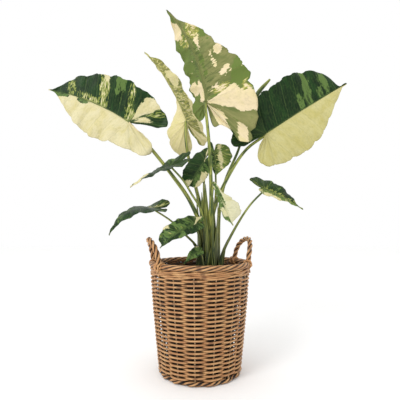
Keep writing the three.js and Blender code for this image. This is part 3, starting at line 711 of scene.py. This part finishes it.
def handle(node, azimuth, seed):
    """Twisted loop whose ends run down into the wall, lashed to the rim at each foot."""
    turn = np.pi * np.linspace(0, 1, 160)
    lift = np.sin(turn) ** 0.75
    angle = np.radians(azimuth - np.cos(turn) * HANDLE.half_span)
    radius = RIM.radius + HANDLE.lean * lift
    arch = on_ring(radius, angle, RIM.z + 1 + (HANDLE.rise + RIM.half) * lift)
    down = np.linspace(GRIP.run_in, 1, 14)[:, None] * np.array([0, 0, 1])
    path = np.vstack([arch[0] - down, arch, arch[-1] - down[::-1]])
    tangent = unit(np.gradient(path, axis=0))
    outward = unit(path * np.array([1, 1, 0]))
    across = unit(outward - tangent * np.sum(outward * tangent, 1, keepdims=True))
    other = np.cross(tangent, across)
    run = walked(path)
    rope = Build()
    for k in range(GRIP.strands):
        twist = run / GRIP.lay * TAU + k * TAU / GRIP.strands
        reach = GRIP.offset * (1 + 0.06 * ripple(run, seed + k, 30))
        strand = (path + across * (reach * np.cos(twist))[:, None]
                  + other * (reach * np.sin(twist))[:, None])
        # painted shade on the side of each strand that faces the handle's core, in the grooves
        # between strands
        rope.tube(strand, GRIP.rod, 10, 0.33 * k + seed, core=path, groove=0.6)
    turns = whole_turn(40)
    around_rim = RIM.half + LASHING.gap
    for foot in (-1, 1):
        centre = math.radians(azimuth + foot * HANDLE.half_span)
        for wrap, shift in enumerate(LASHING.shifts):
            lean = centre + (shift + LASHING.slant * np.sin(turns)) / RIM.radius
            ring = on_ring(RIM.radius + around_rim * np.cos(turns), lean,
                           RIM.z + around_rim * np.sin(turns))
            rope.tube(ring, LASHING.rod, 7, seed + 0.2 * wrap + foot, closed=True)
        stub = np.array([centre + foot * 12 / RIM.radius])
        inner = on_ring(np.array([RIM.radius - 2]), stub, RIM.z + 4)[0]
        outer = on_ring(np.array([RIM.radius + 13]), stub + 0.05 * foot, RIM.z - 3)[0]
        rope.tube(np.linspace(inner, outer, 6), LASHING.stub, 8, seed + foot)
    rope.piece(node + "_rope", RATTAN, "rattan", [node])


def basket_floor():
    """Coiled rods over crossed sticks, as the underside of a round basket has."""
    floor = Build()
    angle = np.linspace(0, COIL.turns * TAU, COIL.turns * 60)
    radius = COIL.start + angle / TAU * PITCH
    height = COIL.height + 0.7 * np.cos((STICKS.count + 0.5) * angle)
    floor.tube(on_ring(radius, angle, height), COIL.rod, 6, angle[:, None] * 0.05,
               up=(0, 0, 1))
    for k in range(STICKS.count):
        turn = k / STICKS.count * math.pi
        side = np.array([math.cos(turn), math.sin(turn), 0])
        path = np.linspace(-STICKS.reach, STICKS.reach, 30)[:, None] * side
        floor.tube(path + np.array([0, 0, STICKS.height]), STICKS.rod, 6, 0.4 * k)
    floor.piece("basket_coil", RATTAN_DARK, "rattan", ["basket_base"])


# --- pot and soil
CRUMBS = 420
CRUMB_SIDES = 6
CRUMB_RINGS = ((-0.7, 0.7), (0.1, 1.1), (0.8, 0.55))      # height and reach, in crumb sizes
SINK = 1.2                         # how far the soil lies below its mound's full height
SKIRT = 14                         # how deep the body of soil goes


def nursery_pot():
    top, low, t = POT.top, POT.bottom, POT.thick
    r1, r0 = POT.top_radius, POT.bottom_radius
    rim = [(r1 - 1.6, top - 22), (r1, top - 21), (r1 + 0.6, top - 2), (r1 - 0.4, top),
           (r1 - t + 0.6, top), (r1 - t, top - 2)]
    profile = [(1, low), (r0 - 4, low), (r0, low + 4), *rim, (r0 - t, low + t), (1, low + t)]
    angle = whole_turn(96)
    body = Build()
    rows = [on_ring(np.full(angle.shape, r), angle, z) for r, z in profile]
    body.grid(np.array(rows), 0.0, angle[None] / TAU, 0.0)
    body.piece("pot_shell", pot_material(), "pot_plastic", ["nursery_pot"])


def soil():
    rows, cols = 46, 150
    share = (POT.top - SOIL_TOP) / (POT.top - POT.bottom)
    inner_radius = POT.top_radius - POT.thick
    edge = inner_radius - share * (POT.top_radius - POT.bottom_radius) - 0.5

    def mound(radius):
        slope = np.clip((radius - SOIL_FLAT) / (edge - SOIL_FLAT), 0, 1)
        return SOIL_TOP + SOIL_MOUND * (1 - slope)

    radius = np.linspace(0.5, edge, rows)[:, None] * np.ones((1, cols))
    angle = whole_turn(cols)[None] * np.ones((rows, 1))
    x, y = radius * np.cos(angle), radius * np.sin(angle)
    lumps = (ripple(x + 0.6 * y, 21, 9) + ripple(y - 0.5 * x, 22, 7)
             + 0.6 * ripple(x * 1.3 - y, 23, 3))
    top = np.stack([x, y, mound(radius) + 0.9 * lumps - SINK], -1)
    body = Build()
    body.grid(top, 0.0, 0.0, 0.0, caps=False)
    middle = body.count
    body.verts.append(np.array([[0, 0, SOIL_TOP + SOIL_MOUND - SINK]]))
    for values in body.attrs.values():
        values.append(np.zeros(1))
    body.count += 1
    body.faces += [[middle, (k + 1) % cols, k] for k in range(cols)]
    side = on_ring(np.full(cols, edge), angle[0], SOIL_TOP - SKIRT)
    body.grid(np.stack([top[-1], side]), 0.0, 0.0, 0.0, caps=False)
    body.faces.append(list(range(body.count - cols, body.count)))
    rng = np.random.default_rng(4)
    ring = whole_turn(CRUMB_SIDES)
    for _ in range(CRUMBS):
        r, a = edge * math.sqrt(rng.uniform(0, 0.96)), rng.uniform(0, TAU)
        size = rng.uniform(0.9, 2.6)
        crumb = []
        for lift, reach in CRUMB_RINGS:
            wobble = reach * size * (1 + rng.uniform(-0.25, 0.25, CRUMB_SIDES))
            crumb.append(np.stack([r * math.cos(a) + wobble * np.cos(ring),
                                   r * math.sin(a) + wobble * np.sin(ring),
                                   np.full(CRUMB_SIDES, mound(r) - 0.6 + lift * size)], -1))
        body.grid(np.array(crumb), 0.0, 0.0, 0.0)
    body.piece("soil_bed", soil_material(), "potting_soil", ["soil"])


# --- leaves
def station(u, values, turn=TURN):
    """Values given for the lobe, the middle and the tip, blended along the leaf."""
    lobe, middle, tip = values
    return (lobe + (middle - lobe) * ease((u - turn[0]) / (turn[1] - turn[0]))
            + (tip - middle) * ease((u - turn[1]) / (1 - turn[1])))


class Midrib:
    """The bowed midrib of one leaf and its moving frame, as in the CAD."""

    def __init__(self, leaf):
        self.joint, self.tip = np.array(leaf.joint, float), np.array(leaf.tip, float)
        axis = unit(self.tip - self.joint)
        face = np.array(leaf.face, float)
        up = unit(face - axis * (face @ axis))
        middle = (self.joint + self.tip) / 2
        self.bow = middle + up * leaf.arch + np.cross(up, axis) * leaf.sweep
        self.face, self.hang = face, math.radians(leaf.hang)
        pts = self.at(np.linspace(0, 1, 200))
        self.length = np.linalg.norm(np.diff(pts, axis=0), axis=1).sum()

    def at(self, t):
        t = np.asarray(t)[..., None]
        return (1 - t) ** 2 * self.joint + 2 * t * (1 - t) * self.bow + t * t * self.tip

    def frame(self, u):
        u = np.asarray(u, float)
        t = np.clip(u, 0, 1)[..., None]
        at = self.at(t[..., 0])
        along = unit(2 * (1 - t) * (self.bow - self.joint) + 2 * t * (self.tip - self.bow))
        up = unit(self.face - along * (along @ self.face)[..., None])
        out = np.cross(up, along)
        back = np.maximum(-u, 0)[..., None]
        bend = back / 0.4 * self.hang
        straight = np.abs(bend) < 1e-4
        safe = np.where(straight, 1, bend)
        run = np.where(straight, back, back * np.sin(bend) / safe)
        drop = np.where(straight, 0, back * (1 - np.cos(bend)) / safe)
        at = at - along * run * self.length - up * drop * self.length
        at = at + along * np.maximum(u - 1, 0)[..., None] * self.length
        return at, up * np.cos(bend) - along * np.sin(bend), out


def surface(leaf, midrib, part, side, u, v, reach):
    """Points of one half leaf; u runs along the midrib, v away from it, in leaf lengths."""
    at, up, out = midrib.frame(u)
    fold = np.radians(station(u, part.fold, part.turn))
    curl = np.radians(station(u, part.curl))
    curl = np.where(np.abs(curl) < 1e-4, 1e-4, curl)
    full = 0.45 * midrib.length
    tilt = fold + curl * v * midrib.length / full
    sideways = full / curl * (np.sin(tilt) - np.sin(fold))
    upward = full / curl * (np.cos(fold) - np.cos(tilt))
    phase = 0.6 if side > 0 else 2.1
    wave = leaf.ruffle * reach ** 2 * np.sin(leaf.waves * np.pi * (u + 0.4) * 1.4 + phase)
    ripples = np.sin(leaf.waves * 11 * (u + 0.4) + phase * 2)
    fringe = 0.30 * leaf.ruffle * reach ** 5 * ripples
    wave = wave + fringe
    return (at + out * (side * (sideways - wave * np.sin(tilt)))[..., None]
            + up * (upward + wave * np.cos(tilt))[..., None])


RAGGED = 13                       # how deep the edges of the pale patches are torn
FAN_REACH = 0.06                  # patches rooted below this follow the lobe's fanned veins
ACUMEN = 1.085                    # the drawn-out point runs this far along the midrib
SCALLOP, TORN = 0.055, 0.018      # depth of the edge's scallops and nicks, as a share of v
PUFF = 3.2                        # how far the blade bulges between its side veins
HALF_THICK = 0.55
VEIN_RIDGE, KEEL = 1.3, 2.4       # how far the side veins and the midrib stand out below


def outline_of(part):
    corners = np.array(OUTLINES[part.outline] + [(1000, 0)]) / 1000
    corners[:, 0] = np.where(corners[:, 0] < 0, corners[:, 0] * part.lobe, corners[:, 0])
    corners[:, 1] *= part.wide
    corners[-1, 1] = 0.016
    point = [(1.04, 0.007), (ACUMEN, 0.0)]
    line = catmull(np.vstack([corners, point]), 3000)
    line[:, 1] = np.maximum(line[:, 1], 0)
    return line


def lane_of(s, veins):
    """Place among the side veins: whole numbers lie on a vein, and lobes have negative ones."""
    return np.where(s < 0, s * LOBE_VEINS, s / ACUMEN * veins)


def half_grid(leaf, midrib, key, side, seed, veins):
    """Points and colouring coordinates of one half, in rows from the midrib to the edge."""
    part = getattr(leaf, key)
    fan, across = leaf.fine // 2, max(leaf.fine // 3, 12)
    reach = (np.linspace(0, 1, across + 1)[1:]) ** 0.9
    roots = np.linspace(0, ACUMEN, leaf.fine + 1)
    line = outline_of(part)
    root_of = line[:, 0] - VEIN_SLOPE * line[:, 1]
    first = int(np.argmax(root_of > 0))
    picks = [round(first * f / fan) for f in range(fan)]
    picks += [int(np.argmax(root_of >= r)) for r in roots[:-1]]
    ends = line[picks]
    row = np.arange(len(picks))
    root_index = np.maximum(row - fan, 0)
    root = roots[root_index]
    s = np.where(row < fan, -(1 - row / fan), root)
    scallop = np.abs(np.sin(np.pi * lane_of(s, veins))) ** 0.6 - 0.6
    nicks = ripple(walked(ends) * 60, seed * 3 + side, 1.6)
    notch = SCALLOP * leaf.scallop * scallop + TORN * leaf.torn * nicks
    v_end = ends[:, 1] * (1 + notch * (ends[:, 1] > 0.03))
    u = root[:, None] * (1 - reach) + ends[:, :1] * reach
    v = v_end[:, None] * reach
    r = np.broadcast_to(reach, u.shape)
    points = surface(leaf, midrib, part, side, u, v, r).reshape(-1, 3)
    s = np.broadcast_to(s[:, None], u.shape)
    info = np.stack([u, v, s, r, np.full(u.shape, side)], -1).reshape(-1, 5)
    return points, info, root_index, u.shape


def normals_of(points, corners):
    a = points[corners[:, 2]] - points[corners[:, 0]]
    b = points[corners[:, 3]] - points[corners[:, 1]]
    three = corners[:, 3] == corners[:, 2]
    b[three] = (points[corners[:, 2]] - points[corners[:, 1]])[three]
    face_normal = np.cross(a, b)
    total = np.zeros_like(points)
    for k in range(4):
        np.add.at(total, corners[:, k], face_normal)
    return unit(total)


def tone_field(leaf, tone, u, v, side, length):
    """How strongly a tone shows at each point; its patches are drawn out along the veins."""
    left, right = getattr(leaf.left, tone), getattr(leaf.right, tone)
    field = np.where(side == 0, (left + right) / 2, np.where(side > 0, left, right))
    for on, *place, level in leaf.spots[tone]:
        su, sv, du, dv = np.array(place) / 1000
        fanned = su < FAN_REACH
        slope = su / max(sv, 0.05) if fanned else VEIN_SLOPE
        wide = du * np.clip(v / sv, 0.35, 1.5) if fanned and sv > 0.05 else du
        away = np.sqrt(((u - su - slope * (v - sv)) / wide) ** 2 + ((v - sv) / dv) ** 2)
        inside = (1 - away) * min(du, dv) * length / RAGGED + 0.12
        patch = np.clip(inside * max(abs(level), 1), -2, min(abs(level), 1.2))
        reached = np.maximum(field, patch) if level > 0 else np.minimum(field, -patch)
        field = np.where((side == on) | (side == 0), reached, field)
    return field


def leaf_piece(leaf, seed):
    midrib = Midrib(leaf)
    length = midrib.length
    veins = SIDE_VEINS[int(length > LARGE)]
    last = leaf.fine
    roots = np.linspace(0, ACUMEN, last + 1)
    verts = [midrib.frame(roots)[0]]
    info = [np.stack([roots, 0 * roots, roots, 0 * roots, 0 * roots], 1)]
    count = last + 1
    faces, rims = [], {}
    for key, side in (("left", 1), ("right", -1)):
        points, where, root_index, shape = half_grid(leaf, midrib, key, side, seed, veins)
        verts.append(points)
        info.append(where)
        grid = np.column_stack([root_index, count + np.arange(len(points)).reshape(shape)])
        grid = np.vstack([grid, np.full(shape[1] + 1, last)])
        for near, far in zip(grid, grid[1:]):
            for j in range(shape[1]):
                a, b, c, d = near[j], near[j + 1], far[j + 1], far[j]
                quad = [a, d, c, b] if side > 0 else [a, b, c, d]
                quad = [int(q) for n, q in enumerate(quad) if q != quad[n - 1]]
                if len(quad) > 2:
                    faces.append(quad)
        rims[key] = list(grid[0]) + list(grid[1:-1, -1])
        count += len(points)
    verts, info = np.vstack(verts), np.vstack(info)
    loop = rims["left"] + [last] + rims["right"][1:][::-1]

    # relief: main side veins, sunk on the upper side, with the blade puffed between them
    u, v, s, r, side = info.T
    where = lane_of(s, veins)
    away = np.abs(where - np.round(where))
    width = np.where(s < 0, 0.34 * r + 0.02, 0.16) * length / np.where(s < 0, 2.0, 1.1)
    vein = np.exp(-(away * width / (1.0 + 0.9 * (1 - r))) ** 2) * (1 - 0.55 * r)
    midvein = np.exp(-(v * length / 2.4) ** 2) * (1 - 0.5 * np.clip(u, 0, 1))
    vein = np.maximum(vein, midvein)
    swell = np.sin(np.pi * away) ** 0.8 * np.sin(np.pi * np.clip(r, 0, 1)) * (s < 0.93)
    corners = np.array([f if len(f) == 4 else f + f[-1:] for f in faces])
    lift = swell * min(length / 150, 1.0) * PUFF
    verts = verts + normals_of(verts, corners) * lift[:, None]
    normal = normals_of(verts, corners)
    ridge = VEIN_RIDGE * vein * min(length / 200, 1.0)
    keel = np.exp(-(v * length / 3.2) ** 2) * KEEL * (1 - 0.75 * np.clip(u, 0, 1))
    top = verts + normal * HALF_THICK
    low = verts - normal * (HALF_THICK + ridge + keel * min(length / 220, 1))[:, None]

    total = len(verts)
    under = [[i + total for i in f[::-1]] for f in faces]
    edge = [[int(a), int(b), int(b) + total, int(a) + total]
            for a, b in zip(loop, loop[1:] + loop[:1])]
    face_material = np.array([0] * len(faces) + [1] * len(under) + [0] * len(edge), np.int32)

    spacing = np.where(s < 0, 0.30 * r * length / 4 + 1.0, length * ACUMEN / veins)
    across = np.where(s < 0, s * 0.9, s) * length * side + 900 * seed
    attrs = dict(flow=np.stack([across, r * 0.45 * length + 40 * seed, side * 3.0 + seed], 1),
                 lane=np.stack([where, spacing, r], 1), vein=midvein,
                 tone=np.tile(leaf.tone, (total, 1)))
    for tone in ("cream", "pale", "splash"):
        attrs[tone] = tone_field(leaf, tone, u, v, side, length)
    attrs = {key: np.concatenate([values, values]) for key, values in attrs.items()}
    make_piece(leaf.name + "_blade", np.vstack([top, low]), faces + under + edge,
               [LEAF_TOP, LEAF_UNDER],
               [leaf.name + "_leaf"], attrs, face_material, len(faces) + len(under))


# --- stalks
SHEATH_SIDES = 9
BURIED = 3                         # how far the stalks stand in the soil
# Old wraps: (x, y) of the foot, (x, y, z) of the top, radius.
BRACTS = [((43, -15), (49, -5, 480), 7.5), ((10, -38), (-2, -46, 410), 9),
          ((30, -42), (34, -48, 372), 8), ((53, -22), (62, -24, 352), 8),
          ((-2, -20), (-6, -26, 350), 8), ((22, -32), (17, -34, 445), 8.5),
          ((38, -32), (45, -34, 415), 8), ((4, -2), (-4, -6, 440), 8),
          ((8, -12), (-6, -16, 525), 8.5), ((16, -6), (4, -8, 515), 8),
          ((26, -6), (17, -8, 540), 8), ((37, -4), (41, 0, 500), 8)]


def rod_radii(share, thick):
    return thick[1] + (thick[0] - thick[1]) * (1 - share) ** 1.6


def stem_piece(name, path, radii, seed, node):
    """Fleshy stalk, sheathed at the foot: the sheath stands a little off on one side."""
    tangent = unit(np.gradient(path, axis=0))
    normal = carried(tangent, np.array([1.0, 0, 0]))
    angle = whole_turn(14)
    share = np.linspace(0, 1, len(path))[:, None]
    sheathed = np.clip(1 - share / 0.42, 0, 1) ** 0.6 * (share < 0.42)
    wing = 0.24 * sheathed * np.cos(angle - seed) ** 3
    off_groove = np.mod(angle - seed + np.pi, TAU) - np.pi
    groove = -0.10 * np.exp(-(off_groove / 0.4) ** 2) * (1 - sheathed)
    scale = 1 + wing + groove + 0.02 * np.sin(7 * angle + seed)
    ring = spokes(normal, np.cross(tangent, normal), angle)
    stalk = Build()
    stalk.grid(path[:, None] + ring * (radii[:, None] * scale)[..., None],
               walked(path)[:, None], angle[None] / TAU, 1.7 * seed)
    stalk.piece(name, STEM, "leaf_stem", [node])


def sheath(name, path, radii, seed):
    """An open trough wrapped round a stalk's path, narrowing to nothing at its top."""
    rng = np.random.default_rng(round(seed * 10) + 5)
    share = np.linspace(0, 1, len(path))
    tangent = unit(np.gradient(path, axis=0))
    facing = rng.uniform(0, TAU)
    normal = np.array([math.cos(facing), math.sin(facing), 0.0])
    normal = unit(normal - tangent * (tangent @ normal)[:, None])
    other = np.cross(tangent, normal)
    spread = 2.3 * (1 - share ** 1.5) + 0.15
    outer = radii * (1.36 - 0.2 * share) + 0.5
    arc = np.linspace(-1, 1, SHEATH_SIDES)
    turn = np.concatenate([arc, arc[::-1]])
    angle = spread[:, None] * turn[None]
    skin = np.repeat([0.0, -1.0], SHEATH_SIDES)
    flare = 1 + 0.36 * np.abs(turn)[None] ** 3 * np.sin(np.pi * share)[:, None] ** 0.7
    reach = outer[:, None] * flare + skin[None]
    points = (path[:, None] + normal[:, None] * (reach * np.cos(angle))[..., None]
              + other[:, None] * (reach * np.sin(angle))[..., None])
    wrap = Build()
    wrap.grid(points, walked(path)[:, None], turn[None] * 0.3, 1.7 * seed + 3,
              np.abs(turn)[None] ** 6)
    wrap.piece(name, STEM, "leaf_stem", [])


def bracts():
    """Short wraps left by old leaves, standing between the stalks."""
    for k, (foot, top, radius) in enumerate(BRACTS):
        low = np.array([*foot, CLUMP[2] - BURIED])
        middle = (low + top) / 2 + np.array([0, -3.0, 0])
        path = even_path([low, middle, top], 24)
        sheath(f"old_wrap_{k + 1}", path, radius * np.linspace(1, 0.45, 25), 11.3 + 1.7 * k)


def foot_of(stem):
    return (CLUMP[0] + stem.foot[0], CLUMP[1] + stem.foot[1], CLUMP[2] - BURIED)


def leaf_stem(leaf, number):
    name, thick, seed = leaf.name, leaf.thick, number * 0.9
    at, up, _ = Midrib(leaf).frame(np.array(0.0))
    path = even_path([foot_of(leaf), *leaf.bend, at - up * (thick[1] * 0.75)], 70)
    radii = rod_radii(np.linspace(0, 1, 71), thick)
    span = 23 + number * 5 % 9
    sheath(name + "_sheath", path[:span], radii[:span], seed)
    stem_piece(name + "_stalk", path, radii, seed, name + "_stem")


def young_leaf():
    path = even_path([foot_of(YOUNG), *YOUNG.bend, YOUNG.mouth, YOUNG.end], 110)
    share = np.linspace(0, 1, 111)
    swell = YOUNG.roll * np.sin(np.pi * np.clip((share - 0.78) / 0.26, 0, 1))
    radii = np.maximum(rod_radii(share, YOUNG.thick), np.where(share > 0.8, swell, 0))
    stem_piece("young_leaf_roll", path, radii, 6.1, "young_leaf")


# --- the object
basket_wall()
basket_bands()
rope_ring("rim_rope", RIM, 5, 6, 3.7, "rim_border", 1)
rope_ring("foot_rope", FOOT, 3, 11, 3.1, "foot_border", 30, 1.9)
handle("handle_right", HANDLE.azimuths[0], 2)
handle("handle_left", HANDLE.azimuths[1], 7)
basket_floor()
nursery_pot()
soil()
for number, leaf in enumerate(LEAVES):
    leaf_piece(leaf, number + 1)
    leaf_stem(leaf, number)
young_leaf()
bracts()

# --- stage, light, camera
floor_mesh = bpy.data.meshes.new("floor")
HALF_FLOOR, FLOOR_Z = 6.0, -0.0005                       # metres
floor_mesh.from_pydata([(x * HALF_FLOOR, y * HALF_FLOOR, FLOOR_Z)
                        for x, y in ((-1, -1), (1, -1), (1, 1), (-1, 1))], [], [(0, 1, 2, 3)])
floor_mesh.materials.append(floor_material())
add("floor", floor_mesh)


def area_light(name, place, target, size, power):
    data = bpy.data.lights.new(name, "AREA")
    data.shape, data.size, data.energy = "DISK", size, power
    lamp = add(name, data)
    lamp.location = place
    direction = np.array(target) - np.array(place)
    yaw = math.atan2(direction[0], -direction[1])
    tilt = math.atan2(math.hypot(direction[0], direction[1]), -direction[2])
    lamp.rotation_euler = (tilt, 0, yaw + math.pi)


area_light("key", (-1.6, -2.0, 2.4), (0, 0, 0.5), 1.2, 36)

world = bpy.data.worlds.new("studio")
bpy.context.scene.world = world
world.use_nodes = True
background = world.node_tree.nodes["Background"]
background.inputs[0].default_value = (1, 1, 1, 1)
background.inputs[1].default_value = 1.0
bpy.context.scene.view_settings.view_transform = "Standard"

camera_data = bpy.data.cameras.new("camera")
camera_data.sensor_width = 36
camera_data.lens = 31.5
camera = add("camera", camera_data)
camera.location = (0, -1.05, 0.415)
camera.rotation_euler = (math.radians(90 + 4.25), 0, 0)
bpy.context.scene.camera = camera
